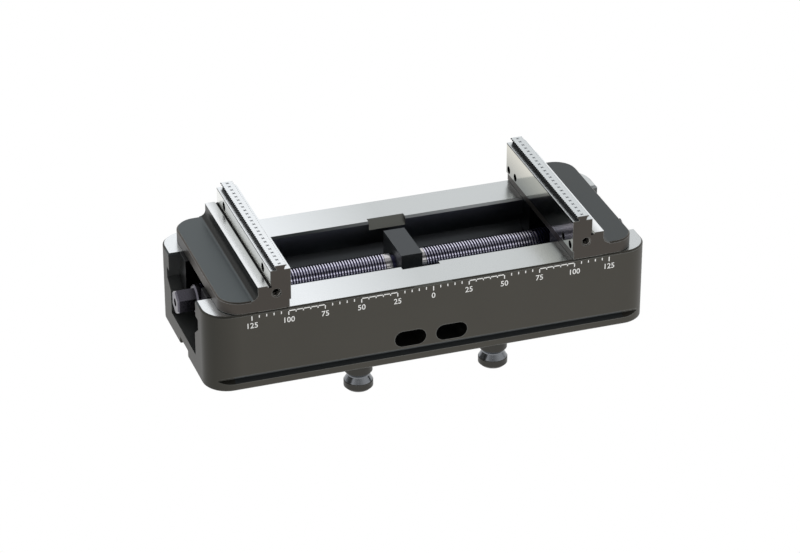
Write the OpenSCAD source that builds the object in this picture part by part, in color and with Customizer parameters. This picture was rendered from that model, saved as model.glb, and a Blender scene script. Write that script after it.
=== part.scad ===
// Self-centring machine vise: a long base with two guided carriages, each with a bolted jaw,
// driven by one left- and right-hand spindle that is held axially in a split centre bearing.
// The frame has X along the spindle, Y across the jaws and Z up. Z zero is the foot of the pull studs.

/* [Base] */
// Length of the base along the spindle
base_l = 310; // [280:1:360]
// Width of the base
base_w = 125; // [110:1:150]
// Height of the base from its underside to the rails
base_h = 56; // [56:0.5:64]
// Radius of the vertical corners
corner_r = 17; // [8:0.5:22]
// Chamfer round the top edge
top_chamfer = 1.1; // [0.4:0.1:2]
// Chamfer round the bottom edge
bottom_chamfer = 0.6; // [0.3:0.1:1.5]
// Height of the floor of the channel above the underside
floor_h = 12.8; // [11:0.1:15]

/* [Guideway] */
// Width between the two rails
channel_w = 66; // [62:0.5:70]
// Height of the rail lips above the guide groove
lip_h = 12.2; // [9:0.1:13]
// Depth of the guide groove behind each lip
groove_d = 5.5; // [3:0.1:7]
// Height of the upright back of the guide groove
groove_h = 7.5; // [5:0.1:8]
// Width of the channel below the guide grooves
lower_w = 60; // [56:0.5:61]
// Chamfer along the inner edge of each rail
rail_chamfer = 1.5; // [0.5:0.1:2]
// Gap between a carriage and its guides
guide_gap = 0.1; // [0.05:0.01:0.2]
// Gap between the jaws and the tops of the rails
rail_gap = 0.3; // [0.2:0.05:0.8]

/* [Base details] */
// Width of the key slot in the underside
key_w = 20; // [12:0.5:24]
// Depth of the key slot
key_d = 5; // [2:0.1:6]
// Height of the clamping groove in each long side
side_groove_h = 5.2; // [3:0.1:7]
// Depth of the clamping groove
side_groove_d = 3.5; // [2:0.1:5]
// Height of the clamping groove's middle above the underside
side_groove_z = 7.6; // [6:0.1:10]
// Length of each chip slot
chip_slot_l = 22; // [14:0.5:26]
// Height of each chip slot
chip_slot_h = 11.5; // [8:0.1:12]
// Distance between the middles of the two chip slots
chip_slot_pitch = 29; // [28:0.5:36]
// Height of the lower edge of the chip slots above the channel floor
chip_slot_rise = -1.1; // [-2:0.1:4]
// Offset of the pair of chip slots from the middle
chip_slot_shift = -1.5; // [-4:0.1:4]

/* [Spindle] */
// Length of the spindle over its hexagon ends
spindle_l = 320; // [314:1:370]
// Outside diameter of the thread
thread_d = 20; // [16:0.5:22]
// Depth of the spindle's middle below the rails
spindle_drop = 18.5; // [17:0.1:19]
// Size of the hexagon ends across the flats
hex_af = 15; // [10:0.5:17]
// Length of each hexagon end
hex_l = 13; // [10:0.5:18]
// Diameter of the journals in the centre bearing
journal_d = 17; // [13:0.5:18]
// Diameter of the thrust collar
collar_d = 23; // [21:0.1:23.4]
// Width of the thrust collar
collar_w = 6; // [3:0.1:8]
// Radial gap of the journals and the threads
spindle_gap = 0.05; // [0.02:0.01:0.1]
// Radial gap round the thrust collar
collar_gap = 0.3; // [0.2:0.05:0.4]
// Width of the relief between the bearing and each shoulder
relief_w = 2; // [1:0.1:3]
// Width of the plain shoulder before the thread starts
shoulder_w = 5; // [3:0.1:6]

/* [Centre bearing] */
// Thickness of the bearing block along the spindle
block_t = 15; // [13:0.5:18]
// Width of the bearing block across the channel
block_w = 38; // [37:0.5:40]
// Drop of the top of the bearing block below the rails
block_drop = 0.5; // [0.3:0.1:2]
// Length of the foot along the spindle
foot_l = 26; // [24:0.5:30]
// Thickness of the foot
foot_t = 6; // [5.8:0.1:8]
// Gap between the foot and the channel walls
foot_gap = 0.3; // [0.1:0.05:0.5]
// Width of the bevelled lead-in in each rail
notch_w = 26.4; // [24.4:0.2:32]
// Depth of the bevelled lead-in
notch_d = 5.1; // [3:0.1:6]
// Distance between the two foot screws
foot_screw_pitch = 48.8; // [48.4:0.1:49.2]
// Distance between the two cap screws
cap_screw_pitch = 30.4; // [30:0.1:31.6]

/* [Carriages] */
// Distance from the middle to the front face of each jaw
jaw_x = 98.2; // [60:0.1:100]
// Length of a carriage
carriage_l = 47.8; // [47:0.1:50]
// Depth of the fork that passes the centre bearing
fork_d = 14; // [13:0.1:15]
// Depth of the pocket at the outer end
pocket_d = 14; // [10:0.1:16]
// Side gap between a fork and the centre bearing
fork_gap = 0.4; // [0.3:0.1:1]
// Depth of the underside of a carriage's arms below the rails
arm_drop = 23; // [22:0.1:23.5]
// Material left below the thread
nut_wall = 3.6; // [3:0.1:5]

/* [Jaws] */
// Depth of a jaw along the base
jaw_l = 46.3; // [44:0.1:54]
// Height of the plate of a jaw
plate_h = 8.7; // [8:0.1:12]
// Radius of the outer corners of the plate
plate_r = 15; // [6:0.5:20]
// Chamfer round the plate
plate_chamfer = 1; // [0.4:0.1:1.5]
// Height of the platform behind the upright
platform_h = 18.1; // [15:0.1:20]
// Depth of the platform
platform_d = 8.5; // [5:0.1:9]
// Radius between the platform and the plate
platform_r = 4.5; // [2:0.1:5]
// Height of the upright to its ledges
upright_h = 28.6; // [24:0.1:40]
// Thickness of the upright
upright_t = 13.8; // [11.5:0.1:16]
// Height of the set-back band at the foot of the front face
band_h = 5.9; // [4:0.1:7.5]
// Set-back of that band
band_d = 1; // [0.3:0.1:1.2]
// Width of the relief groove behind the upright
relief_groove_w = 1.8; // [0.6:0.1:2]
// Height of the toothed strip above the ledges
strip_h = 3.3; // [2:0.1:4]
// Width of the toothed strip over the tips of its teeth
strip_w = 8.4; // [6:0.1:9.5]
// Height of the teeth, at the top of the strip
tooth_h = 1; // [0.6:0.1:1.5]
// Slant of the strip's flanks below the teeth
flank_slant = 0.8; // [0.3:0.1:1.2]
// Distance of the flanks inside the gaps of the teeth
flank_inset = 0.15; // [0.1:0.05:0.4]
// Number of teeth along each side of the strip
tooth_count = 48; // [16:1:60]
// Depth of the teeth
tooth_d = 0.7; // [0.4:0.1:1]

/* [Jaw holes] */
// Diameter of the tapped holes in the front face
front_hole_d = 4.2; // [3:0.1:5]
// Depth of the holes in the front and back faces
face_hole_depth = 6; // [5:0.5:6.5]
// Height of the front holes above the rails
front_hole_z = 9.7; // [8.5:0.1:12]
// Distance of the outer front holes from the ends of the jaw
front_outer_edge = 4.5; // [4:0.1:6]
// Distance of the inner front holes from the ends of the jaw
front_inner_edge = 17; // [12:0.5:22]
// Diameter of the tapped holes in the back face
back_hole_d = 5; // [3:0.1:6]
// Height of the back holes above the rails
back_hole_z = 23; // [21:0.1:26]
// Distance of the back holes from the ends of the jaw
back_hole_edge = 17.2; // [8:0.1:27]
// Diameter of the tapped hole in each end face
end_hole_d = 5; // [4:0.1:6.8]
// Depth of the end holes
end_hole_depth = 14; // [8:0.5:20]
// Distance of the end holes behind the front face
end_hole_x = 9.8; // [7:0.1:10.5]
// Height of the end holes above the rails
end_hole_z = 12.4; // [11:0.1:15]
// Depth of the countersinks on the tapped holes
tap_chamfer = 0.7; // [0.3:0.1:0.8]

/* [Jaw fastening] */
// Distance between the two rows of jaw screws across the base
jaw_screw_pitch = 52.4; // [52:0.1:53]
// Distance of the first jaw screw behind the front of the carriage
jaw_screw_near = 7.5; // [7:0.1:10]
// Distance between the two jaw screws of one row
jaw_screw_step = 32.5; // [28:0.5:33]
// Depth of the jaw screws in the jaw
jaw_screw_reach = 6.5; // [5:0.1:7]
// Height of a carriage's material above the heads of the jaw screws
jaw_screw_grip = 15; // [13:0.5:16]
// Diameter of the dowels between jaw and carriage
dowel_d = 6; // [4:0.5:8]
// Length of the dowels
dowel_l = 14; // [10:0.5:14]
// Distance between the two dowels of one jaw
dowel_pitch = 52.4; // [48:0.1:54]
// Distance of the dowels behind the front of the carriage
dowel_x = 23.7; // [20:0.1:27]

/* [Pull studs] */
// Distance between the studs along and across the base
stud_pitch = 96; // [80:1:100]
// Diameter of the stud heads
stud_d = 20; // [18:0.1:22]
// Distance from the base's underside to the foot of the studs
stud_drop = 21.5; // [20.5:0.1:28]
// Diameter of the collar under the base
stud_collar_d = 19.2; // [16:0.1:20]
// Height of the collar under the base
stud_collar_h = 8.3; // [7:0.1:9]
// Diameter of the neck
stud_neck_d = 15; // [14.6:0.1:17]
// Height of the conical grip of the head
stud_cone_h = 4.3; // [3:0.1:5]
// Chamfer at the foot of a stud
stud_chamfer = 1.6; // [0.5:0.1:2]
// Diameter of the spigot in the base
spigot_d = 16; // [13:0.1:17]
// Height of the spigot
spigot_h = 5; // [3:0.1:8]
// Diameter of the threaded shank above the spigot
shank_d = 12; // [10:0.5:12]
// Length of the threaded shank
shank_l = 11; // [8:0.5:18]
// Diameter of the two spanner holes in the foot
spanner_d = 3; // [2:0.1:4]
// Depth of the spanner holes
spanner_depth = 4; // [2:0.1:5]
// Distance between the spanner holes
spanner_pitch = 11; // [8:0.1:12]

/* [Screws] */
// Diameter of the foot and jaw screws
m6_d = 6; // [5:0.1:6.4]
// Head diameter of the foot and jaw screws
m6_head_d = 10; // [9:0.1:10.2]
// Head height of the foot and jaw screws
m6_head_h = 6; // [4:0.1:6.5]
// Diameter of the cap screws
m5_d = 5; // [4:0.1:5]
// Head diameter of the cap screws
m5_head_d = 8.5; // [7:0.1:9]
// Head height of the cap screws
m5_head_h = 5; // [4:0.1:6]
// Radial gap round screws and dowels
screw_gap = 0.1; // [0.05:0.05:0.2]
// Length of the foot screws in the base
foot_screw_reach = 9; // [7:0.1:9.5]
// Length of the cap screws in the cap
cap_screw_reach = 9; // [6:0.1:12]
// Free depth beyond the end of each screw and stud
tap_run = 0.8; // [0.3:0.1:1]
// Depth of the screw sockets as a share of the head's height
socket_share = 0.4; // [0.3:0.05:0.55]

/* [Hidden] */
$fn = 96;
over = 1;

groove_top = base_h - lip_h;
groove_bottom = groove_top - groove_h;
groove_y = channel_w / 2 + groove_d;
groove_slope = 0.765;
lower_top = groove_bottom - (groove_y - lower_w / 2) * groove_slope;
chip_slot_z = floor_h + chip_slot_rise + chip_slot_h / 2;
notch_slope = 1.2;

spindle_z = base_h - spindle_drop;
block_top = base_h - block_drop;
foot_w = lower_w - 2 * foot_gap;
foot_top = floor_h + foot_t;
collar_side_gap = 0.05;
groove_r = collar_d / 2 + collar_gap;
relief_x = block_t / 2 + relief_w;
thread_x = relief_x + shoulder_w;
hex_x = spindle_l / 2 - hex_l;
hex_r = hex_af / sqrt(3);
hex_root = 3;
end_chamfer = 1;
centre_hole_d = 5.5;
centre_hole_h = 5;

arm_z = base_h - arm_drop;
carriage_x = jaw_x + band_d;
jaw_z = base_h + rail_gap;
fork_w = block_w + 2 * fork_gap;
nut_r = thread_d / 2 + spindle_gap;
nut_bottom = spindle_z - nut_r - nut_wall;
arm_y = channel_w / 2 - guide_gap;
tongue_y = groove_y - guide_gap;
tongue_top = groove_top - guide_gap;
tongue_low = groove_bottom + guide_gap;
arm_low_y = tongue_y - (tongue_low - arm_z) / groove_slope;
nut_w = lower_w - 2 * foot_gap;

jaw_w = base_w;
plate_x = jaw_x + jaw_l;
upright_x = jaw_x + upright_t;
platform_x = upright_x + platform_d;
strip_x = jaw_x + (upright_t - strip_w) / 2;
tooth_pitch = jaw_w / tooth_count;
relief_groove_d = 0.9;
jaw_screw_z = jaw_z - jaw_screw_grip;
shank_top = spigot_h + shank_l;

dark_steel = [0.29, 0.29, 0.27];
plate_grey = [0.38, 0.40, 0.41];
thread_blue = [0.27, 0.27, 0.36];
bearing_grey = [0.34, 0.35, 0.36];
screw_black = [0.12, 0.12, 0.13];
pin_silver = [0.75, 0.76, 0.78];

module lift() translate([0, 0, stud_drop]) children();

module along_x(from, length) translate([from, 0, 0]) rotate([90, 0, 90]) linear_extrude(length) children();

module along_y(from, length) translate([0, from + length, 0]) rotate([90, 0, 0]) linear_extrude(length) children();

module mirrored(side) {
    if (side < 0) mirror([1, 0, 0]) children();
    else children();
}

module both_sides() {
    children();
    mirror([0, 1, 0]) children();
}

module rod_x(from, to, r) translate([from, 0, 0]) rotate([0, 90, 0]) cylinder(h = to - from, r = r);

// Edge outline of a chamfered block, half its size out from the middle
module edge_profile(half, h, low, high) {
    polygon([[-half + low, 0], [half - low, 0], [half, low], [half, h - high], [half - high, h],
        [-half + high, h], [-half, h - high], [-half, low]]);
}

module corner_post(r, h, low, high) {
    rotate_extrude()
        polygon([[0, 0], [r - low, 0], [r, low], [r, h - high], [r - high, h], [0, h]]);
}

// Block with rounded corners and chamfered rims, centred on X and Y
module rounded_block(l, w, h, r, low, high) {
    along_x(-l / 2 + r, l - 2 * r) edge_profile(w / 2, h, low, high);
    along_y(-w / 2 + r, w - 2 * r) edge_profile(l / 2, h, low, high);
    for (x = [-1, 1], y = [-1, 1])
        translate([x * (l / 2 - r), y * (w / 2 - r), 0]) corner_post(r, h, low, high);
}

// Half of the cross-section of the channel, to the +Y side
module channel_half() {
    polygon([[-over, floor_h], [lower_w / 2, floor_h], [lower_w / 2, lower_top], [groove_y, groove_bottom],
        [groove_y, groove_top], [channel_w / 2, groove_top], [channel_w / 2, base_h - rail_chamfer],
        [channel_w / 2 + rail_chamfer, base_h], [channel_w / 2 + rail_chamfer, base_h + over],
        [-over, base_h + over]]);
}

// Half of the bevelled lead-in in the rail
module notch_half() {
    notch_y = channel_w / 2 + notch_d;
    polygon([[0, base_h + over], [notch_y, base_h + over], [notch_y, base_h],
        [channel_w / 2, base_h - notch_d * notch_slope], [0, base_h - notch_d * notch_slope]]);
}

module side_groove() {
    half = side_groove_h / 2;
    polygon([[base_w / 2 + over, side_groove_z - half - over], [base_w / 2, side_groove_z - half],
        [base_w / 2 - side_groove_d, side_groove_z - 0.5], [base_w / 2 - side_groove_d, side_groove_z + 0.5],
        [base_w / 2, side_groove_z + half], [base_w / 2 + over, side_groove_z + half + over]]);
}

module obround(l, h) {
    square([l - h, h], center = true);
    for (x = [-1, 1]) translate([x * (l - h) / 2, 0]) circle(d = h);
}

module chip_slots() {
    for (x = [-1, 1])
        translate([chip_slot_shift + x * chip_slot_pitch / 2, 0, chip_slot_z]) rotate([90, 0, 0])
            linear_extrude(base_w + 2 * over, center = true) obround(chip_slot_l, chip_slot_h);
}

module stud_places() {
    for (x = [-1, 1], y = [-1, 1]) translate([x * stud_pitch / 2, y * stud_pitch / 2, 0]) children();
}

module foot_screw_places() {
    for (y = [-1, 1]) translate([0, y * foot_screw_pitch / 2, 0]) children();
}

module base_body() {
    color(dark_steel) lift() difference() {
        rounded_block(base_l, base_w, base_h, corner_r, bottom_chamfer, top_chamfer);
        both_sides() along_x(-base_l / 2 - over, base_l + 2 * over) channel_half();
        both_sides() along_x(-notch_w / 2, notch_w) notch_half();
        both_sides() along_x(-base_l / 2 - over, base_l + 2 * over) side_groove();
        along_x(-base_l / 2 - over, base_l + 2 * over)
            translate([-key_w / 2, -over]) square([key_w, key_d + over]);
        chip_slots();
        stud_places() {
            translate([0, 0, -over]) cylinder(h = spigot_h + over, d = spigot_d);
            cylinder(h = shank_top + tap_run, d = shank_d);
        }
        foot_screw_places() translate([0, 0, floor_h - foot_screw_reach - tap_run])
            cylinder(h = foot_screw_reach + tap_run + over, d = m6_d);
    }
}

module hex_end() {
    intersection() {
        translate([hex_x - hex_root, 0, 0]) rotate([0, 90, 0])
            cylinder(h = hex_l + hex_root, r = hex_r, $fn = 6);
        union() {
            rod_x(0, spindle_l / 2 - end_chamfer, hex_r + over);
            translate([spindle_l / 2 - end_chamfer, 0, 0]) rotate([0, 90, 0])
                cylinder(h = end_chamfer, r1 = hex_r, r2 = hex_r - 1.5 * end_chamfer);
        }
    }
}

module spindle_half() {
    rod_x(0, collar_w / 2, collar_d / 2);
    rod_x(0, relief_x, journal_d / 2);
    rod_x(relief_x, hex_x - end_chamfer, thread_d / 2);
    translate([hex_x - end_chamfer, 0, 0]) rotate([0, 90, 0])
        cylinder(h = end_chamfer, r1 = thread_d / 2, r2 = thread_d / 2 - end_chamfer);
    hex_end();
}

module spindle() {
    color(thread_blue) lift() translate([0, 0, spindle_z]) difference() {
        union() {
            spindle_half();
            mirror([1, 0, 0]) spindle_half();
        }
        for (side = [-1, 1]) mirrored(side) translate([spindle_l / 2 - centre_hole_h, 0, 0]) rotate([0, 90, 0])
            cylinder(h = centre_hole_h + over, d = centre_hole_d);
    }
}

// Bore of the centre bearing with the groove for the thrust collar
module bearing_bore() {
    translate([0, 0, spindle_z]) {
        rod_x(-block_t / 2 - over, block_t / 2 + over, journal_d / 2 + spindle_gap);
        rod_x(-collar_w / 2 - collar_side_gap, collar_w / 2 + collar_side_gap, groove_r);
    }
}

module cap_screw_places() {
    for (y = [-1, 1]) translate([0, y * cap_screw_pitch / 2, 0]) children();
}

module bearing_saddle() {
    color(bearing_grey) lift() difference() {
        union() {
            translate([-foot_l / 2, -foot_w / 2, floor_h]) cube([foot_l, foot_w, foot_t]);
            translate([-block_t / 2, -block_w / 2, floor_h]) cube([block_t, block_w, spindle_z - floor_h]);
        }
        bearing_bore();
        foot_screw_places() translate([0, 0, floor_h - over])
            cylinder(h = foot_t + 2 * over, r = m6_d / 2 + screw_gap);
        cap_screw_places() {
            translate([0, 0, floor_h - over]) cylinder(h = spindle_z, r = m5_d / 2 + screw_gap);
            translate([0, 0, floor_h - over]) cylinder(h = m5_head_h + over + screw_gap, r = m5_head_d / 2 + screw_gap);
        }
    }
}

module bearing_cap() {
    color(bearing_grey) lift() difference() {
        translate([-block_t / 2, -block_w / 2, spindle_z]) cube([block_t, block_w, block_top - spindle_z]);
        bearing_bore();
        cap_screw_places() translate([0, 0, spindle_z - over])
            cylinder(h = cap_screw_reach + tap_run + over, d = m5_d);
    }
}

// Socket head screw with its head's seat at Z zero and its shank up
module cap_head_screw(d, head_d, head_h, length) {
    socket_r = d * 0.45;
    difference() {
        union() {
            cylinder(h = length, d = d);
            translate([0, 0, -head_h]) cylinder(h = head_h, d = head_d);
        }
        translate([0, 0, -head_h - over]) cylinder(h = head_h * socket_share + over, r = socket_r, $fn = 6);
    }
}

module foot_screw(side) {
    color(screw_black) lift() translate([0, side * foot_screw_pitch / 2, foot_top])
        rotate([180, 0, 0]) cap_head_screw(m6_d, m6_head_d, m6_head_h, foot_t + foot_screw_reach);
}

module cap_screw(side) {
    color(screw_black) lift() translate([0, side * cap_screw_pitch / 2, floor_h + m5_head_h + screw_gap])
        cap_head_screw(m5_d, m5_head_d, m5_head_h, spindle_z - floor_h - m5_head_h + cap_screw_reach);
}

// Half of the cross-section of a carriage, to the +Y side
module carriage_half() {
    polygon([[-over, jaw_z], [arm_y, jaw_z], [arm_y, tongue_top], [tongue_y, tongue_top],
        [tongue_y, tongue_low], [arm_low_y, arm_z], [-over, arm_z]]);
}

module jaw_screw_places() {
    for (x = [0, 1], y = [-1, 1])
        translate([carriage_x + jaw_screw_near + x * jaw_screw_step, y * jaw_screw_pitch / 2, 0]) children();
}

module dowel_places() {
    for (y = [-1, 1]) translate([carriage_x + dowel_x, y * dowel_pitch / 2, 0]) children();
}

module carriage(side) {
    color(dark_steel) lift() mirrored(side) difference() {
        union() {
            both_sides() along_x(carriage_x, carriage_l) carriage_half();
            translate([carriage_x + fork_d, -nut_w / 2, nut_bottom])
                cube([carriage_l - fork_d - pocket_d, nut_w, arm_z - nut_bottom + over]);
        }
        translate([carriage_x - over, -fork_w / 2, nut_bottom - over])
            cube([fork_d + over, fork_w, jaw_z]);
        translate([carriage_x + carriage_l - pocket_d, -fork_w / 2, nut_bottom - over])
            cube([pocket_d + over, fork_w, jaw_z]);
        translate([0, 0, spindle_z]) rod_x(carriage_x, carriage_x + carriage_l, nut_r);
        jaw_screw_places() {
            translate([0, 0, arm_z - over]) cylinder(h = jaw_z, r = m6_d / 2 + screw_gap);
            translate([0, 0, arm_z - over])
                cylinder(h = jaw_screw_z - arm_z + over, r = m6_head_d / 2 + screw_gap);
        }
        dowel_places() translate([0, 0, jaw_z - dowel_l / 2]) cylinder(h = dowel_l, d = dowel_d);
    }
}

// Plan of the toothed strip, with pointed teeth along both long sides
module strip_plan() {
    tips = [for (i = [0:tooth_count - 1]) each [
        [0, -jaw_w / 2 + i * tooth_pitch],
        [tooth_d, -jaw_w / 2 + (i + 0.5) * tooth_pitch]]];
    near_side = concat(tips, [[0, jaw_w / 2]]);
    far_side = [for (i = [len(near_side) - 1:-1:0]) [strip_w - near_side[i][0], near_side[i][1]]];
    translate([strip_x, 0]) polygon(concat(near_side, far_side));
}

// Section of the strip below its teeth, wider at the top than at its foot
module strip_foot() {
    top_half = strip_w / 2 - tooth_d - flank_inset;
    foot_half = top_half - flank_slant;
    foot_h = strip_h - tooth_h;
    buried_h = foot_h + tooth_h / 2;
    translate([jaw_x + upright_t / 2, base_h + upright_h + rail_gap])
        polygon([[-foot_half, -over], [foot_half, -over], [foot_half, 0], [top_half, foot_h],
            [foot_half, buried_h], [-foot_half, buried_h], [-top_half, foot_h],
            [-foot_half, 0]]);
}

// Side view of the upright, its platform and the fillet down to the plate
module upright_profile() {
    top = base_h + upright_h + rail_gap;
    platform_top = base_h + platform_h + rail_gap;
    plate_top = jaw_z + plate_h;
    polygon([[jaw_x + band_d, jaw_z], [jaw_x + band_d, jaw_z + band_h], [jaw_x, jaw_z + band_h],
        [jaw_x, top], [upright_x, top], [upright_x, platform_top - relief_groove_d],
        [upright_x + relief_groove_w, platform_top - relief_groove_d],
        [upright_x + relief_groove_w, platform_top], [platform_x, platform_top], [platform_x, jaw_z]]);
    difference() {
        translate([platform_x - over, plate_top - over]) square(platform_r + over);
        translate([platform_x + platform_r, plate_top + platform_r]) circle(r = platform_r);
    }
}

module jaw_plate() {
    inner = jaw_x + band_d + over;
    intersection() {
        translate([plate_x - jaw_w / 2, 0, jaw_z])
            rounded_block(jaw_w, jaw_w, plate_h, plate_r, 0.3, plate_chamfer);
        translate([inner, -jaw_w / 2 - over, 0]) cube([jaw_w, jaw_w + 2 * over, base_h + jaw_w]);
    }
}

// Tapped hole with its mouth at Z zero and a countersink, drilled downwards
module tapped(d, depth) {
    translate([0, 0, -depth]) cylinder(h = depth + over, d = d);
    translate([0, 0, -tap_chamfer]) cylinder(h = tap_chamfer, d1 = d, d2 = d + 2 * tap_chamfer);
    cylinder(h = over, d = d + 2 * tap_chamfer);
}

module jaw_holes() {
    for (y = [-1, 1]) {
        for (edge = [front_outer_edge, front_inner_edge])
            translate([jaw_x, y * (jaw_w / 2 - edge), base_h + front_hole_z]) rotate([0, -90, 0])
                tapped(front_hole_d, face_hole_depth);
        translate([upright_x, y * (jaw_w / 2 - back_hole_edge), base_h + back_hole_z]) rotate([0, 90, 0])
            tapped(back_hole_d, face_hole_depth);
        translate([jaw_x + end_hole_x, y * jaw_w / 2, base_h + end_hole_z]) rotate([-90 * y, 0, 0])
            tapped(end_hole_d, end_hole_depth);
    }
    jaw_screw_places() translate([0, 0, jaw_z - over])
        cylinder(h = jaw_screw_reach + tap_run + over, d = m6_d);
    dowel_places() translate([0, 0, jaw_z - dowel_l / 2]) cylinder(h = dowel_l, d = dowel_d);
}

module jaw(side) {
    color(dark_steel) lift() mirrored(side) difference() {
        union() {
            along_y(-jaw_w / 2, jaw_w) upright_profile();
            jaw_plate();
            along_y(-jaw_w / 2, jaw_w) strip_foot();
            translate([0, 0, base_h + upright_h + rail_gap + strip_h - tooth_h])
                linear_extrude(tooth_h) strip_plan();
        }
        jaw_holes();
    }
}

module jaw_screw(side, index) {
    x = carriage_x + jaw_screw_near + (index % 2) * jaw_screw_step;
    y = (index < 2 ? -1 : 1) * jaw_screw_pitch / 2;
    color(screw_black) lift() mirrored(side) translate([x, y, jaw_screw_z])
        cap_head_screw(m6_d, m6_head_d, m6_head_h, jaw_screw_grip + jaw_screw_reach);
}

module dowel(side, row) {
    color(pin_silver) lift() mirrored(side)
        translate([carriage_x + dowel_x, row * dowel_pitch / 2, jaw_z - dowel_l / 2])
            cylinder(h = dowel_l, d = dowel_d);
}

// Outline of a pull stud with its threaded shank, revolved about the stud's axis
module stud_outline() {
    neck_top = -stud_collar_h - (stud_collar_d - stud_neck_d) / 2 * 1.2;
    neck_bottom = neck_top - 0.8;
    cone_bottom = neck_bottom - stud_cone_h;
    polygon([[0, shank_top], [shank_d / 2 - stud_chamfer, shank_top], [shank_d / 2, shank_top - stud_chamfer],
        [shank_d / 2, spigot_h], [spigot_d / 2, spigot_h], [spigot_d / 2, 0], [stud_collar_d / 2, 0],
        [stud_collar_d / 2, -stud_collar_h], [stud_neck_d / 2, neck_top], [stud_neck_d / 2, neck_bottom],
        [stud_d / 2, cone_bottom], [stud_d / 2, -stud_drop + stud_chamfer],
        [stud_d / 2 - stud_chamfer, -stud_drop], [0, -stud_drop]]);
}

module pull_stud(x, y) {
    color(dark_steel) lift() translate([x * stud_pitch / 2, y * stud_pitch / 2, 0]) difference() {
        rotate_extrude() stud_outline();
        for (side = [-1, 1]) translate([side * spanner_pitch / 2, 0, -stud_drop - over])
            cylinder(h = spanner_depth + over, d = spanner_d);
    }
}

base_body();
spindle();
bearing_saddle();
bearing_cap();
foot_screw(-1);  // foot_screw_front
foot_screw(1);  // foot_screw_rear
cap_screw(-1);  // cap_screw_front
cap_screw(1);  // cap_screw_rear
carriage(-1);  // carriage_left
carriage(1);  // carriage_right
jaw(-1);  // jaw_left
jaw(1);  // jaw_right
jaw_screw(-1, 0);  // jaw_screw_left_1
jaw_screw(-1, 1);  // jaw_screw_left_2
jaw_screw(-1, 2);  // jaw_screw_left_3
jaw_screw(-1, 3);  // jaw_screw_left_4
jaw_screw(1, 0);  // jaw_screw_right_1
jaw_screw(1, 1);  // jaw_screw_right_2
jaw_screw(1, 2);  // jaw_screw_right_3
jaw_screw(1, 3);  // jaw_screw_right_4
dowel(-1, -1);  // dowel_left_front
dowel(-1, 1);  // dowel_left_rear
dowel(1, -1);  // dowel_right_front
dowel(1, 1);  // dowel_right_rear
pull_stud(-1, -1);  // pull_stud_1
pull_stud(1, -1);  // pull_stud_2
pull_stud(-1, 1);  // pull_stud_3
pull_stud(1, 1);  // pull_stud_4
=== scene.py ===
import math

import bmesh
import bpy
from mathutils import Matrix, Vector


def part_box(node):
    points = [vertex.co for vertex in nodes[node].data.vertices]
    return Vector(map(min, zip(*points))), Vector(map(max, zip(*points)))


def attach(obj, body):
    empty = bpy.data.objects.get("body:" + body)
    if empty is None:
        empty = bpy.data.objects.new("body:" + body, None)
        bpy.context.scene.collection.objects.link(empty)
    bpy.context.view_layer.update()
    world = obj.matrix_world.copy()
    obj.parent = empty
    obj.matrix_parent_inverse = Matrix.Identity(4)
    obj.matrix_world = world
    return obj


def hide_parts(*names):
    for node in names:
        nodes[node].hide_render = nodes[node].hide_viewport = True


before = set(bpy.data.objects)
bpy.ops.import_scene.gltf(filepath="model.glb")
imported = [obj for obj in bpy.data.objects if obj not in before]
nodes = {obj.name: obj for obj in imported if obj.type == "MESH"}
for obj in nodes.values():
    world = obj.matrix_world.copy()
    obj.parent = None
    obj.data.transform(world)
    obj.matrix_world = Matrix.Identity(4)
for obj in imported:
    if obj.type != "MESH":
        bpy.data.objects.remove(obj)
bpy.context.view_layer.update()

MM = 0.001

# Places taken from the frame, in millimetres
base_low, base_high = (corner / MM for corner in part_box("base_body"))
spindle_low, spindle_high = (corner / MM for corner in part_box("spindle"))
jaw_low, jaw_high = (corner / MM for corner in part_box("jaw_right"))
jaw_front = jaw_low.x
underside_z = base_low.z
rail_z = base_high.z
front_y = base_low.y
spindle_z = (spindle_low.z + spindle_high.z) / 2
spindle_end = spindle_high.x

# Sizes of the spindle, in millimetres
thread_r = 10.0
thread_root_r = 8.9
thread_core_r = thread_root_r - 0.05
thread_pitch = 2.0
thread_from = 14.5
thread_to = 143.4
shoulder_from = 9.5
shoulder_chamfer = 0.3
hex_from = 147.0
hex_af = 15.0
hex_buried = 2.0
hex_chamfer_l = 1.0
hex_chamfer_h = 1.3
stop_chamfer = 1.0
journal_r = 8.5
collar_r = 11.5
collar_half = 3.0
centre_hole_r = 2.75
centre_hole_h = 5.0
centre_tip_h = 1.5

# One turn of the thread: share of the pitch and radius of each corner of its profile
thread_profile = ((0.0, thread_r), (0.40, thread_r), (0.56, thread_root_r), (0.84, thread_root_r))
thread_steps = 48
smooth_angle = 28.0
merge_gap = 0.000002

# Finishes of the spindle's mesh, in the order of its material slots
spindle_finishes = ("thread_crest", "shoulder_steel", "hexagon_steel", "thread_root")
crest_slot, shoulder_slot, hexagon_slot, root_slot = range(4)

# Sizes of the engraved scale, in millimetres
scale_top = 2.0
scale_reach = 125
major_step = 25
minor_step = 5
major_tick_h = 3.4
minor_tick_h = 1.9
tick_w = 0.7
bar_h = 0.75
bar_starts = (25, 75)
digit_h = 3.9
digit_gap = 1.0
digit_share = 0.70
digit_weight = 0.05
engraving_proud = 0.012

# Grip marks on top of each jaw's toothed strip, in millimetres and radians
mark_count = 24
mark_size = 2.7
mark_width = 0.65
mark_turns = (0.8, -0.8)
mark_proud = 0.01
strip_behind_front = 6.9

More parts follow.
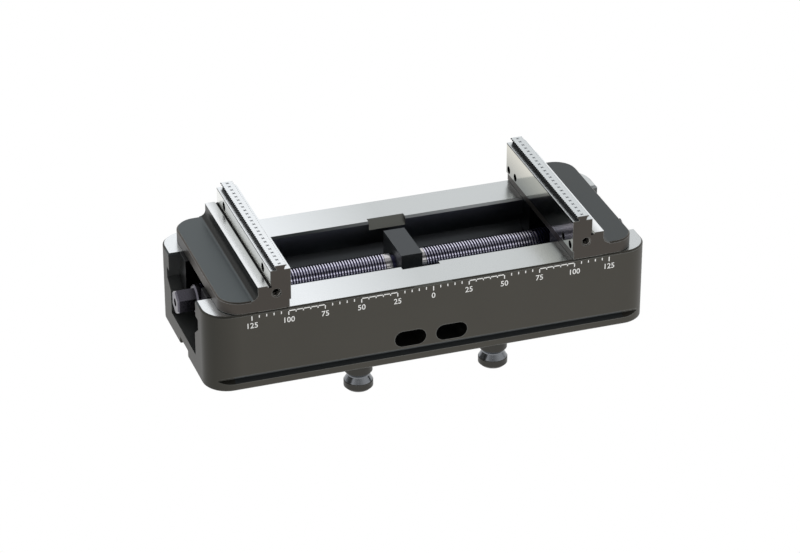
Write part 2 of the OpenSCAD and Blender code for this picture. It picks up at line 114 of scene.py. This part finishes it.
# Places of the finishes and of the painted sheen on the base, in millimetres; a depth counts down from the
# rail's top
channel_half_w = -front_y - 20.0
key_slot_top = underside_z + 6.0
lip_depth = 1.6
lip_edge_depth = 0.1
lip_sheen_fade = 60.0
mouth_from = 138.0
left_end_fade = (-132.0, -150.0)
side_groove_z = underside_z + 7.6
side_groove_half_h = 2.45
side_wall_from = 50.0
straight_half_l = base_high.x - 18.0
notch_half_l = 13.3
notch_depths = (7.0, 0.2)
ground_depth = 0.08
rail_sheen_fade = (-85.0, -5.0)

# Places of the finishes and of the painted shade on the jaws, in millimetres above the jaw's foot
plate_top = (8.0, 9.4)
wall_span = (8.75, 18.05)
root_span = (16.4, 17.9)
ledge_low = 17.0
step_high = 19.0
front_low = 5.9
back_low = 18.0

# Depths below the jaw's top and distances behind its front face, in millimetres
strip_foot_depth = 3.6
back_top_depth = 3.7
rim_shadow_depths = (4.15, 3.32)
teeth_depth = 3.25
rise_margin = 6.0
root_behind = (13.0, 14.9)
step_shade_fade = (14.0, 21.0)
front_hole_end = 6.5
back_face = 13.74
end_hole_behind = 9.8

# Tapped holes of the jaws, in millimetres from the middle and above the foot of the studs
front_holes = ((58.0, 87.2), (45.5, 87.2))
back_hole = (45.3, 100.5)
end_hole_z = 89.9
front_hole_r = 2.85
back_hole_r = 3.25
end_hole_r = 2.6
end_hole_from = 57.0
end_hole_edge = 0.7

# Light of the studio as reflections see it, by the height of the direction
wall_panel_top = 0.89
front_panel_top = 0.49
ceiling_strip = (0.64, 0.80)
below_everything = -2.0
soft_edge = 0.03
front_back_edge = 0.05
dark_level = 0.10

# Camera as fitted to the photograph of 800 by 553 pixels
camera_place = Vector((-0.6108, -1.77407, 1.08328))
camera_azimuth = math.radians(-18.94)
camera_elevation = math.radians(28.84)
camera_lens = 141.71
camera_sensor = 36.0


def make_camera():
    data = bpy.data.cameras.new("camera")
    data.lens = camera_lens
    data.sensor_fit = "HORIZONTAL"
    data.sensor_width = camera_sensor
    data.clip_start = 0.05
    data.clip_end = 50.0
    camera = bpy.data.objects.new("camera", data)
    camera.location = camera_place
    camera.rotation_euler = (math.pi / 2 - camera_elevation, 0.0, camera_azimuth)
    bpy.context.scene.collection.objects.link(camera)
    bpy.context.scene.camera = camera


class Graph:
    """Short calls for building one material's nodes."""

    def __init__(self, name):
        self.material = bpy.data.materials.new(name)
        self.material.use_nodes = True
        self.tree = self.material.node_tree
        self.shader = self.tree.nodes["Principled BSDF"]
        self.shader.inputs["Metallic"].default_value = 1.0
        self.coords = self.tree.nodes.new("ShaderNodeTexCoord")

    def node(self, kind, **settings):
        made = self.tree.nodes.new(kind)
        for key, value in settings.items():
            setattr(made, key, value)
        return made

    def link(self, a, b):
        self.tree.links.new(a, b)

    def feed(self, value, socket):
        if isinstance(value, bpy.types.NodeSocket):
            self.link(value, socket)
        else:
            socket.default_value = value

    def math(self, operation, a, b=0.0):
        made = self.node("ShaderNodeMath", operation=operation)
        self.feed(a, made.inputs[0])
        self.feed(b, made.inputs[1])
        return made.outputs[0]

    def product(self, first, *masks):
        """One only where every mask is one."""
        for mask in masks:
            first = self.math("MULTIPLY", first, mask)
        return first

    def opposite(self, mask):
        return self.math("SUBTRACT", 1.0, mask)

    def noise(self, scale, detail=4.0, stretch=(1.0, 1.0, 1.0)):
        mapping = self.node("ShaderNodeMapping")
        mapping.inputs["Scale"].default_value = stretch
        self.link(self.coords.outputs["Object"], mapping.inputs["Vector"])
        made = self.node("ShaderNodeTexNoise")
        made.inputs["Scale"].default_value = scale
        made.inputs["Detail"].default_value = detail
        self.link(mapping.outputs["Vector"], made.inputs["Vector"])
        return made.outputs["Fac"]

    def remap(self, value, low, high, to_low=0.0, to_high=1.0):
        """Values from low to high as to_low to to_high, and no farther."""
        made = self.node("ShaderNodeMapRange", clamp=True)
        self.feed(value, made.inputs["Value"])
        made.inputs["From Min"].default_value = low
        made.inputs["From Max"].default_value = high
        made.inputs["To Min"].default_value = to_low
        made.inputs["To Max"].default_value = to_high
        return made.outputs["Result"]

    def mix(self, factor, a, b):
        made = self.node("ShaderNodeMix", data_type="RGBA")
        self.feed(factor, made.inputs["Factor"])
        self.feed(a, made.inputs["A"])
        self.feed(b, made.inputs["B"])
        return made.outputs["Result"]

    def axes(self, output):
        made = self.node("ShaderNodeSeparateXYZ")
        self.link(self.coords.outputs[output], made.inputs["Vector"])
        return made.outputs

    def place(self, axis):
        """Place along an axis, in metres."""
        return self.axes("Object")[axis]

    def facing(self, axis):
        """How far the surface faces along an axis, from -1 to 1."""
        return self.axes("Normal")[axis]

    def edges(self, radius):
        """One near a sharp edge and zero on the flat."""
        bevel = self.node("ShaderNodeBevel", samples=4)
        bevel.inputs["Radius"].default_value = radius
        plain = self.node("ShaderNodeNewGeometry")
        dot = self.node("ShaderNodeVectorMath", operation="DOT_PRODUCT")
        self.link(bevel.outputs["Normal"], dot.inputs[0])
        self.link(plain.outputs["Normal"], dot.inputs[1])
        return self.remap(dot.outputs["Value"], 0.995, 0.90)

    def bump(self, height, strength, distance=0.00002):
        made = self.node("ShaderNodeBump")
        made.inputs["Strength"].default_value = strength
        made.inputs["Distance"].default_value = distance
        self.link(height, made.inputs["Height"])
        self.link(made.outputs["Normal"], self.shader.inputs["Normal"])


def colour(r, g, b):
    """A colour written as 0 to 255 screen values, as linear light."""
    def linear(c):
        c /= 255.0
        return c / 12.92 if c <= 0.04045 else ((c + 0.055) / 1.055) ** 2.4
    return (linear(r), linear(g), linear(b), 1.0)


def scaled(tone, share):
    return tuple(min(1.0, c * share) for c in tone[:3]) + (1.0,)


def metal(name, tone, roughness, brush, brush_scale=700.0, variation=0.10,
          edge_tone=None, edge_width=0.0005, bump=0.1):
    """Metal with brushing along one direction, slight clouding and a painted highlight along sharp edges."""
    graph = Graph(name)
    lines = graph.noise(brush_scale, 3.0, brush)
    clouds = graph.noise(30.0, 3.0)
    uneven = graph.math("ADD", graph.math("MULTIPLY", lines, 0.5), graph.math("MULTIPLY", clouds, 0.5))
    shade = graph.mix(uneven, scaled(tone, 1.0 - variation), scaled(tone, 1.0 + variation))
    # Painted highlight: a lighter tone laid along sharp edges.
    if edge_tone:
        shade = graph.mix(graph.edges(edge_width), shade, edge_tone)
    graph.link(shade, graph.shader.inputs["Base Color"])
    graph.link(graph.remap(lines, 0.3, 0.7, roughness - 0.04, roughness + 0.05),
               graph.shader.inputs["Roughness"])
    graph.bump(lines, bump)
    return graph


def blend_zone(graph, mask, tone, roughness):
    """Lay another finish over a material where the mask is one."""
    shader = graph.shader
    old_tone = shader.inputs["Base Color"].links[0].from_socket
    old_rough = shader.inputs["Roughness"].links[0].from_socket
    graph.link(graph.mix(mask, old_tone, tone), shader.inputs["Base Color"])
    made = graph.node("ShaderNodeMix", data_type="FLOAT")
    graph.link(mask, made.inputs["Factor"])
    graph.link(old_rough, made.inputs["A"])
    made.inputs["B"].default_value = roughness
    graph.link(made.outputs["Result"], shader.inputs["Roughness"])


def band(graph, axis, low, high, soft=0.05):
    """One where the place along an axis lies between two values, in millimetres."""
    value = graph.place(axis)
    return graph.product(graph.remap(value, (low - soft) * MM, (low + soft) * MM),
                         graph.remap(value, (high - soft) * MM, (high + soft) * MM, 1.0, 0.0))


def beyond(graph, axis, distance):
    """One farther from the middle than a distance in millimetres."""
    return graph.remap(graph.math("ABSOLUTE", graph.place(axis)), distance * MM, (distance + 0.1) * MM)


def facing_ramp(graph, axis, low, high):
    """One where the surface faces along an axis by more than high, zero below low."""
    return graph.remap(graph.facing(axis), low, high)


def facing_either(graph, axis, low, high):
    """The same for both directions of the axis."""
    return graph.remap(graph.math("ABSOLUTE", graph.facing(axis)), low, high)


def round_zone(graph, across, from_across, from_up, radius):
    """One inside round holes that lie at the same distance on both sides of the middle."""
    a = graph.math("SUBTRACT", graph.math("ABSOLUTE", graph.place(across)), from_across * MM)
    b = graph.math("SUBTRACT", graph.place("Z"), from_up * MM)
    square = graph.math("ADD", graph.math("MULTIPLY", a, a), graph.math("MULTIPLY", b, b))
    return graph.remap(graph.math("SQRT", square), radius * MM, (radius + 0.05) * MM, 1.0, 0.0)


def base_material():
    """Blackened base with ground rails, a glossy channel and a dark clamping groove; a painted sheen on the
    rail tops and the lips changes along the length.
    """
    graph = metal("base_steel", colour(79, 77, 72), 0.44, (1.0, 6.0, 6.0), variation=0.07,
                  edge_tone=colour(128, 130, 128), edge_width=0.0007, bump=0.03)
    left_end = graph.remap(graph.place("X"), left_end_fade[0] * MM, left_end_fade[1] * MM)
    blend_zone(graph, left_end, colour(64, 63, 59), 0.44)

    channel = band(graph, "Y", -channel_half_w, channel_half_w, 0.2)
    inside = graph.product(channel, band(graph, "Z", key_slot_top, rail_z - lip_depth, 0.03),
                           graph.opposite(facing_either(graph, "X", 0.8, 0.9)))
    blend_zone(graph, inside, colour(108, 112, 116), 0.30)
    mouth = graph.product(inside, beyond(graph, "X", mouth_from))
    blend_zone(graph, mouth, colour(98, 100, 99), 0.45)
    lip = graph.product(channel, band(graph, "Z", rail_z - lip_depth, rail_z - lip_edge_depth, 0.03))
    # Painted reflection: the lip is dark towards the left end and light towards the right end.
    lip_sheen = graph.remap(graph.place("X"), -lip_sheen_fade * MM, lip_sheen_fade * MM)
    blend_zone(graph, lip, graph.mix(lip_sheen, colour(68, 72, 73), colour(178, 182, 184)), 0.38)

    inner_groove = graph.product(
        band(graph, "Z", side_groove_z - side_groove_half_h, side_groove_z + side_groove_half_h),
        band(graph, "Y", front_y + 0.1, -front_y - 0.1, 0.02),
        beyond(graph, "Y", side_wall_from), graph.opposite(beyond(graph, "X", straight_half_l)))
    blend_zone(graph, inner_groove, colour(84, 87, 88), 0.40)

    notch = graph.product(band(graph, "X", -notch_half_l, notch_half_l), facing_ramp(graph, "Z", 0.35, 0.45),
                          band(graph, "Z", rail_z - notch_depths[0], rail_z - notch_depths[1]))
    blend_zone(graph, notch, colour(112, 113, 108), 0.45)
    top = graph.product(band(graph, "Z", rail_z - ground_depth, rail_z + 1.0, 0.03),
                        facing_ramp(graph, "Z", 0.97, 0.99))
    # Painted sheen: the ground rail tops are lighter at the left end and darker from the middle to the
    # right.
    sheen = graph.remap(graph.place("X"), rail_sheen_fade[0] * MM, rail_sheen_fade[1] * MM)
    blend_zone(graph, top, graph.mix(sheen, colour(236, 240, 243), colour(198, 202, 203)), 0.26)
    return graph.material


def jaw_material(side):
    """Blackened plate, bright ground upright, front face and platform, with painted shade in the grooves,
    holes and undercut, on the lower front face and inner platform, painted light in the end hole, and the
    left jaw painted lighter than the right.
    """
    graph = metal("jaw_steel_" + side, colour(78, 74, 70), 0.42, (6.0, 1.0, 6.0), variation=0.07,
                  edge_tone=colour(150, 152, 150), bump=0.03)
    foot, top = jaw_low.z, jaw_high.z
    left = side == "left"
    sign = -1.0 if left else 1.0
    outward = graph.math("MULTIPLY", graph.place("X"), sign)

    def behind_front(low, high, *to):
        """Ramp between two distances behind the front face."""
        return graph.remap(outward, (jaw_front + low) * MM, (jaw_front + high) * MM, *to)

    def faces_up():
        return facing_ramp(graph, "Z", 0.9, 0.97)

    # Painted light: the left jaw's plate is lighter than the right jaw's, lit and shaded copies of one
    # finish.
    plate = graph.product(band(graph, "Z", foot + plate_top[0], foot + plate_top[1]), faces_up())
    blend_zone(graph, plate, colour(84, 90, 92) if left else colour(70, 74, 75), 0.42)
    wall = graph.product(facing_ramp(graph, "X", 0.25 * sign, 0.45 * sign),
                         band(graph, "Z", foot + wall_span[0], foot + wall_span[1], 0.04))
    blend_zone(graph, wall, colour(38, 39, 38), 0.40)

    # Painted light: the left jaw's ground top is lighter than the right jaw's.
    high = graph.product(band(graph, "Z", foot + ledge_low, top + 1.0), faces_up())
    blend_zone(graph, high, colour(236, 240, 243) if left else colour(205, 210, 212), 0.24)
    # Painted shade: the platform darkens towards the groove at the foot of the strip.
    step = graph.product(high, band(graph, "Z", foot + ledge_low, foot + step_high))
    blend_zone(graph, step, graph.mix(behind_front(*step_shade_fade), colour(172, 175, 175),
                                      colour(240, 243, 245)), 0.24)
    front = graph.product(facing_ramp(graph, "X", -0.97 * sign, -0.99 * sign),
                          band(graph, "Z", foot + front_low, top - strip_foot_depth))
    # Painted shade: the ground front face darkens towards its foot.
    front_shade_rise = graph.remap(graph.place("Z"), (rail_z + rise_margin) * MM, (top - rise_margin) * MM)
    blend_zone(graph, front, graph.mix(front_shade_rise, colour(150, 152, 148), colour(209, 207, 196)), 0.12)
    back = graph.product(facing_ramp(graph, "X", 0.97 * sign, 0.99 * sign),
                         band(graph, "Z", foot + back_low, top - back_top_depth))
    blend_zone(graph, back, colour(236, 237, 234), 0.22)

    # Painted shadow: a dark line under the overhang of the strip.
    rim_shadow = graph.product(band(graph, "Z", top - rim_shadow_depths[0], top - rim_shadow_depths[1], 0.03),
                        facing_either(graph, "X", 0.9, 0.97))
    blend_zone(graph, rim_shadow, colour(24, 24, 24), 0.4)
    # Painted shadow: the toothed sides of the strip are near black for the shade of its undercut.
    teeth_shadow = graph.product(facing_either(graph, "X", 0.3, 0.4),
                          band(graph, "Z", top - teeth_depth, top + 1.0, 0.02))
    blend_zone(graph, teeth_shadow, colour(9, 10, 10), 0.55)
    # Painted shade: a dark band in the groove at the foot of the strip.
    root_x = sorted(sign * (jaw_front + distance) for distance in root_behind)
    root_shadow = graph.product(band(graph, "Z", foot + root_span[0], foot + root_span[1], 0.03),
                         band(graph, "X", *root_x))
    blend_zone(graph, root_shadow, colour(22, 22, 22), 0.5)

    # Painted shade: the insides of the front and back tapped holes are near black.
    before_middle = behind_front(front_hole_end, front_hole_end + 0.1, 1.0, 0.0)
    for y, z in front_holes:
        hole = graph.product(round_zone(graph, "Y", y, z, front_hole_r), behind_front(0.06, 0.1),
                             before_middle)
        blend_zone(graph, hole, colour(12, 12, 12), 0.6)
    hole = graph.product(round_zone(graph, "Y", *back_hole, back_hole_r),
                         behind_front(back_face, back_face - 0.04), graph.opposite(before_middle))
    blend_zone(graph, hole, colour(12, 12, 12), 0.6)
    # Painted light: the inside of the end hole is painted light.
    hole = graph.product(round_zone(graph, "X", jaw_front + end_hole_behind, end_hole_z, end_hole_r),
                         graph.opposite(band(graph, "Y", jaw_high.y - end_hole_edge, 200.0, 0.02)),
                         beyond(graph, "Y", end_hole_from))
    blend_zone(graph, hole, colour(205, 203, 198), 0.5)
    return graph.material


def stud_material():
    """Turned steel with a brighter cone."""
    graph = metal("stud_steel", colour(68, 67, 64), 0.42, (1.0, 1.0, 10.0), 500.0, 0.08,
                  colour(110, 110, 108), 0.0004)
    blend_zone(graph, band(graph, "Z", 6.15, 12.6), colour(120, 123, 127), 0.20)
    return graph.material


def bearing_material():
    """Steel block with a darker top."""
    graph = metal("bearing_steel", colour(104, 108, 111), 0.40, (1.0, 6.0, 6.0),
                  edge_tone=colour(120, 122, 124))
    blend_zone(graph, facing_ramp(graph, "Z", 0.97, 0.99), colour(72, 76, 79), 0.42)
    return graph.material


def thread_material(name, tone, roughness):
    """Smooth steel with slight clouding."""
    graph = Graph(name)
    clouds = graph.noise(60.0, 3.0)
    graph.link(graph.mix(clouds, scaled(tone, 0.85), tone), graph.shader.inputs["Base Color"])
    graph.link(graph.remap(clouds, 0.3, 0.7, roughness - 0.03, roughness + 0.04),
               graph.shader.inputs["Roughness"])
    return graph.material


def engraving_material():
    """Bright bare metal with fine flecks."""
    graph = Graph("engraving")
    graph.shader.inputs["Roughness"].default_value = 0.5
    flecks = graph.noise(2500.0, 2.0)
    graph.link(graph.mix(flecks, colour(222, 222, 219), colour(246, 246, 244)),
               graph.shader.inputs["Base Color"])
    return graph.material


def make_materials():
    made = {"base_steel": base_material(), "jaw_left": jaw_material("left"),
            "jaw_right": jaw_material("right"), "bearing_steel": bearing_material(),
            "stud_steel": stud_material(), "engraving": engraving_material(),
            # Painted highlight and shade: the crest of the thread is painted much lighter than its root.
            "thread_crest": thread_material("thread_crest", colour(222, 220, 240), 0.14),
            "thread_root": thread_material("thread_root", colour(78, 76, 108), 0.30)}
    # Steels with a painted highlight along their sharp edges
    edge_highlit = (("carriage_steel", colour(44, 46, 48), 0.30, (6.0, 1.0, 6.0), colour(110, 112, 114), 0.0005),
            ("hexagon_steel", colour(98, 96, 105), 0.28, (1.0, 8.0, 8.0), colour(120, 118, 126), 0.0005),
            ("screw_steel", colour(48, 48, 50), 0.35, (1.0, 1.0, 8.0), colour(90, 90, 92), 0.0004))
    for name, tone, roughness, brush, edge_tone, edge_width in edge_highlit:
        made[name] = metal(name, tone, roughness, brush, edge_tone=edge_tone, edge_width=edge_width).material
    even = (("shoulder_steel", colour(196, 194, 196), 0.16, (8.0, 1.0, 1.0), 0.05),
            ("dowel_steel", colour(205, 206, 208), 0.20, (1.0, 1.0, 8.0), 0.05),
            ("grip_mark", colour(112, 116, 121), 0.5, (1.0, 1.0, 1.0), 0.10))
    for name, tone, roughness, brush, variation in even:
        made[name] = metal(name, tone, roughness, brush, variation=variation).material
    return made


def dress(obj, material):
    if not obj.material_slots:
        obj.data.materials.append(material)
    for material_slot in obj.material_slots:
        material_slot.material = material


def new_object(name, mesh_data, material, body):
    obj = bpy.data.objects.new(name, mesh_data)
    bpy.context.scene.collection.objects.link(obj)
    obj.data.materials.append(material)
    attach(obj, body)
    return obj


def ring_of_points(bm, x, radius, count, turn=0.0):
    return [bm.verts.new((x * MM,
                          radius * math.sin(turn + 2 * math.pi * i / count) * MM,
                          (spindle_z + radius * math.cos(turn + 2 * math.pi * i / count)) * MM))
            for i in range(count)]


def lathe_x(bm, profile, material_slot, count=96):
    """Revolve (x, radius) points round the spindle's axis; a radius of zero closes the end."""
    rings = []
    for x, radius in profile:
        if radius == 0.0:
            rings.append([bm.verts.new((x * MM, 0.0, spindle_z * MM))])
        else:
            rings.append(ring_of_points(bm, x, radius, count))
    for near, far in zip(rings, rings[1:]):
        for i in range(count):
            j = (i + 1) % count
            corners = [near[i % len(near)], near[j % len(near)], far[j % len(far)], far[i % len(far)]]
            unique = list(dict.fromkeys(corners))
            if len(unique) > 2:
                bm.faces.new(unique).material_index = material_slot


def helix(bm, start, end, right_hand):
    """Helical thread between two places on the axis, with flat crests and roots."""
    count = int(round((end - start) / thread_pitch)) + 1
    hand = 1 if right_hand else -1
    columns = []
    for i in range(thread_steps + 1):
        angle = 2 * math.pi * i / thread_steps
        column = []
        for turn in range(-1, count + 1):
            for share, radius in thread_profile:
                x = start + (turn + share + i / thread_steps) * thread_pitch
                x = min(max(x, start), end)
                column.append(bm.verts.new((x * MM,
                                            -hand * radius * math.sin(angle) * MM,
                                            (spindle_z + radius * math.cos(angle)) * MM)))
        columns.append(column)
    for near, far in zip(columns, columns[1:]):
        for k, corners in enumerate(zip(near, near[1:], far[1:], far)):
            on_crest = k % len(thread_profile) == 0
            bm.faces.new(corners).material_index = crest_slot if on_crest else root_slot


def hexagon_end(bm, side):
    """Hexagon with a corner up, a chamfer at its end and a centre hole."""
    hex_r = hex_af / math.sqrt(3)
    end = spindle_end
    faces = []
    rings = [ring_of_points(bm, side * x, radius, 6) for x, radius in
             ((hex_from - hex_buried, hex_r), (end - hex_chamfer_l, hex_r), (end, hex_r - hex_chamfer_h))]
    for near, far in zip(rings, rings[1:]):
        for i in range(6):
            j = (i + 1) % 6
            faces.append((near[i], near[j], far[j], far[i]))
    mouth = ring_of_points(bm, side * end, centre_hole_r, 24)
    for i in range(6):
        fan = [mouth[(4 * i + k) % 24] for k in range(5)]
        faces.append([rings[-1][i], rings[-1][(i + 1) % 6]] + fan[::-1])
    deep = ring_of_points(bm, side * (end - centre_hole_h), centre_hole_r, 24)
    tip = bm.verts.new((side * (end - centre_hole_h - centre_tip_h) * MM, 0.0, spindle_z * MM))
    for i in range(24):
        j = (i + 1) % 24
        faces += [(mouth[i], mouth[j], deep[j], deep[i]), (deep[i], deep[j], tip)]
    for corners in faces:
        bm.faces.new(corners).material_index = hexagon_slot


def make_spindle(materials):
    """The whole spindle in one mesh, with a right-hand and a left-hand thread."""
    bm = bmesh.new()
    for side in (-1, 1):
        collar = [(0.0, collar_r), (side * collar_half, collar_r), (side * collar_half, journal_r),
                  (side * shoulder_from, journal_r)]
        shoulder = [(side * shoulder_from, journal_r), (side * shoulder_from, thread_r - shoulder_chamfer),
                    (side * (shoulder_from + shoulder_chamfer), thread_r),
                    (side * (thread_from - shoulder_chamfer), thread_r),
                    (side * thread_from, thread_r - shoulder_chamfer), (side * thread_from, thread_core_r)]
        core = [(side * thread_from, thread_core_r), (side * thread_to, thread_core_r)]
        stop = [(side * thread_to, thread_core_r), (side * thread_to, thread_r),
                (side * (hex_from - stop_chamfer), thread_r), (side * hex_from, thread_r - stop_chamfer),
                (side * hex_from, 0.0)]
        for profile, slot in ((collar, root_slot), (shoulder, shoulder_slot), (core, root_slot),
                              (stop, hexagon_slot)):
            lathe_x(bm, profile, slot)
        hexagon_end(bm, side)
    helix(bm, thread_from, thread_to, True)
    helix(bm, -thread_to, -thread_from, False)
    bmesh.ops.remove_doubles(bm, verts=bm.verts, dist=merge_gap)
    bmesh.ops.dissolve_degenerate(bm, edges=bm.edges, dist=merge_gap)
    bmesh.ops.recalc_face_normals(bm, faces=bm.faces)
    data = bpy.data.meshes.new("spindle_threaded")
    bm.to_mesh(data)
    bm.free()
    first, *others = [materials[finish] for finish in spindle_finishes]
    obj = new_object("spindle_threaded", data, first, "spindle")
    for material in others:
        data.materials.append(material)
    smooth_by_angle(obj, smooth_angle)
    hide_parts("spindle")


def smooth_by_angle(obj, degrees):
    bpy.context.view_layer.objects.active = obj
    for other in bpy.context.selected_objects:
        other.select_set(False)
    obj.select_set(True)
    bpy.ops.object.shade_smooth_by_angle(angle=math.radians(degrees))
    obj.select_set(False)


def flat_mark(bm, x_low, x_high, z_low, z_high):
    y = (front_y - engraving_proud) * MM
    corners = [bm.verts.new((x * MM, y, z * MM)) for x, z in
               ((x_low, z_low), (x_high, z_low), (x_high, z_high), (x_low, z_high))]
    bm.faces.new(corners)


def digits(label, x, top, height):
    """Plain number on the front face, centred on x, as a mesh."""
    text = bpy.data.curves.new("number_" + label, "FONT")
    text.body = label
    text.align_x = "CENTER"
    text.align_y = "TOP"
    text.size = height * MM / digit_share
    text.offset = digit_weight * MM
    text.resolution_u = 3
    obj = bpy.data.objects.new("number_source", text)
    bpy.context.scene.collection.objects.link(obj)
    obj.matrix_world = Matrix.Translation((x * MM, (front_y - engraving_proud) * MM, top * MM)) @ \
        Matrix.Rotation(math.pi / 2, 4, "X")
    bpy.context.view_layer.update()
    depsgraph = bpy.context.evaluated_depsgraph_get()
    made = bpy.data.meshes.new_from_object(obj.evaluated_get(depsgraph))
    made.transform(obj.matrix_world)
    bpy.data.objects.remove(obj)
    return made


def make_scale(materials):
    """Millimetre scale on the front: numbered long marks, short marks and bars over some spans."""
    bm = bmesh.new()
    top = rail_z - scale_top
    for value in range(-scale_reach, scale_reach + 1, minor_step):
        major = value % major_step == 0
        height = major_tick_h if major else minor_tick_h
        flat_mark(bm, value - tick_w / 2, value + tick_w / 2, top - height, top)
    for side in (-1, 1):
        for near in bar_starts:
            low, high = sorted((side * near, side * (near + major_step)))
            flat_mark(bm, low - tick_w / 2, high + tick_w / 2, top - bar_h, top)
    for value in range(-scale_reach, scale_reach + 1, major_step):
        number = digits(str(abs(value)), value, top - major_tick_h - digit_gap, digit_h)
        bm.from_mesh(number)
        bpy.data.meshes.remove(number)
    data = bpy.data.meshes.new("front_scale")
    bm.to_mesh(data)
    bm.free()
    new_object("front_scale", data, materials["engraving"], "base")


def make_grip_marks(materials):
    """Row of small crosses along the middle of each jaw's toothed strip."""
    length = jaw_high.y - jaw_low.y
    for side, sign in (("left", -1), ("right", 1)):
        bm = bmesh.new()
        middle = sign * (jaw_front + strip_behind_front)
        top = jaw_high.z + mark_proud
        for i in range(mark_count):
            y = jaw_low.y + (i + 0.5) * length / mark_count
            half = mark_size / 2
            for turn in mark_turns:
                centre = Vector((middle, y, top))
                along = Vector((math.sin(turn), math.cos(turn), 0.0)) * half
                across = Vector((math.cos(turn), -math.sin(turn), 0.0)) * mark_width / 2
                corners = [centre - along - across, centre - along + across,
                           centre + along + across, centre + along - across]
                bm.faces.new([bm.verts.new(corner * MM) for corner in corners])
        data = bpy.data.meshes.new("grip_marks_" + side)
        bm.to_mesh(data)
        bm.free()
        new_object("grip_marks_" + side, data, materials["grip_mark"], "carriage_" + side)


def dress_cad_nodes(materials):
    for name, obj in nodes.items():
        if name == "base_body":
            dress(obj, materials["base_steel"])
        elif name in ("jaw_left", "jaw_right"):
            dress(obj, materials[name])
        elif name.startswith("carriage"):
            dress(obj, materials["carriage_steel"])
        elif name.startswith("bearing"):
            dress(obj, materials["bearing_steel"])
        elif name.startswith("dowel"):
            dress(obj, materials["dowel_steel"])
        elif name.startswith("pull_stud"):
            dress(obj, materials["stud_steel"])
        elif "screw" in name:
            dress(obj, materials["screw_steel"])


def seen_white(tree, plain_shader, white_shader):
    """The white shader to the camera and in reflections, the plain shader for all other light."""
    path = tree.nodes.new("ShaderNodeLightPath")
    either = brighter(tree, path.outputs["Is Camera Ray"], path.outputs["Is Glossy Ray"])
    mixer = tree.nodes.new("ShaderNodeMixShader")
    tree.links.new(either, mixer.inputs["Fac"])
    tree.links.new(plain_shader, mixer.inputs[1])
    tree.links.new(white_shader, mixer.inputs[2])
    return mixer.outputs[0]


def joined(tree, operation, a, b):
    made = tree.nodes.new("ShaderNodeMath")
    made.operation = operation
    tree.links.new(a, made.inputs[0])
    tree.links.new(b, made.inputs[1])
    return made.outputs[0]


def brighter(tree, a, b):
    return joined(tree, "MAXIMUM", a, b)


def studio_panel(tree, low, high, side):
    """One for directions whose height lies between two values on the back (1) or front (-1) side."""
    direction = tree.nodes.new("ShaderNodeTexCoord")
    axes = tree.nodes.new("ShaderNodeSeparateXYZ")
    tree.links.new(direction.outputs["Generated"], axes.inputs[0])
    ramps = []
    for axis, start, end, first, last in (("Z", low - soft_edge, low + soft_edge, 0.0, 1.0),
                                          ("Z", high - soft_edge, high + soft_edge, 1.0, 0.0),
                                          ("Y", -front_back_edge * side, front_back_edge * side, 0.0, 1.0)):
        ramp = tree.nodes.new("ShaderNodeMapRange")
        ramp.clamp = True
        for name, setting in (("From Min", start), ("From Max", end), ("To Min", first), ("To Max", last)):
            ramp.inputs[name].default_value = setting
        tree.links.new(axes.outputs[axis], ramp.inputs["Value"])
        ramps.append(ramp.outputs["Result"])
    return joined(tree, "MULTIPLY", joined(tree, "MULTIPLY", ramps[0], ramps[1]), ramps[2])


def make_world():
    """Even white room: reflections see soft panels with a darker ceiling between them."""
    world = bpy.data.worlds.new("studio")
    bpy.context.scene.world = world
    world.use_nodes = True
    tree = world.node_tree
    tree.nodes.clear()
    output = tree.nodes.new("ShaderNodeOutputWorld")
    soft = tree.nodes.new("ShaderNodeBackground")
    soft.inputs["Color"].default_value = (0.95, 0.97, 1.0, 1.0)
    soft.inputs["Strength"].default_value = 0.55
    white = tree.nodes.new("ShaderNodeBackground")
    white.inputs["Color"].default_value = (1.0, 1.0, 1.0, 1.0)
    path = tree.nodes.new("ShaderNodeLightPath")
    darkest = tree.nodes.new("ShaderNodeValue")
    darkest.outputs[0].default_value = dark_level
    level = brighter(tree, path.outputs["Is Camera Ray"], darkest.outputs[0])
    for low, high, side in ((below_everything, wall_panel_top, 1), (below_everything, front_panel_top, -1),
                            (*ceiling_strip, -1)):
        level = brighter(tree, level, studio_panel(tree, low, high, side))
    tree.links.new(level, white.inputs["Strength"])
    tree.links.new(seen_white(tree, soft.outputs[0], white.outputs[0]), output.inputs["Surface"])


def make_floor():
    """Pale floor that looks white to the camera and in reflections and lights the vise from below."""
    bpy.ops.mesh.primitive_plane_add(size=8.0, location=(0.0, 0.0, -0.0002))
    floor = bpy.context.object
    floor.name = "floor"
    material = bpy.data.materials.new("floor_white")
    material.use_nodes = True
    tree = material.node_tree
    shader = tree.nodes["Principled BSDF"]
    shader.inputs["Base Color"].default_value = (0.92, 0.92, 0.92, 1.0)
    shader.inputs["Roughness"].default_value = 0.9
    glow = tree.nodes.new("ShaderNodeEmission")
    glow.inputs["Color"].default_value = (1.0, 1.0, 1.0, 1.0)
    glow.inputs["Strength"].default_value = 1.0
    tree.links.new(seen_white(tree, shader.outputs[0], glow.outputs[0]),
                   tree.nodes["Material Output"].inputs["Surface"])
    floor.data.materials.append(material)


def soft_lamp(name, place, target, size, power):
    data = bpy.data.lights.new(name, "AREA")
    data.shape = "RECTANGLE"
    data.size = size[0]
    data.size_y = size[1]
    data.energy = power
    lamp = bpy.data.objects.new(name, data)
    lamp.location = place
    aim = Vector(target) - Vector(place)
    lamp.rotation_euler = aim.to_track_quat("-Z", "Y").to_euler()
    bpy.context.scene.collection.objects.link(lamp)


def make_lamps():
    soft_lamp("overhead", (0.1, 0.3, 1.4), (0.0, 0.0, 0.05), (1.2, 0.9), 1.3)
    soft_lamp("left_side", (-1.3, -0.5, 0.7), (0.0, 0.0, 0.05), (0.8, 0.8), 0.3)


make_camera()
finishes = make_materials()
dress_cad_nodes(finishes)
make_spindle(finishes)
make_scale(finishes)
make_grip_marks(finishes)
make_world()
make_floor()
make_lamps()
bpy.context.scene.view_settings.view_transform = "Standard"
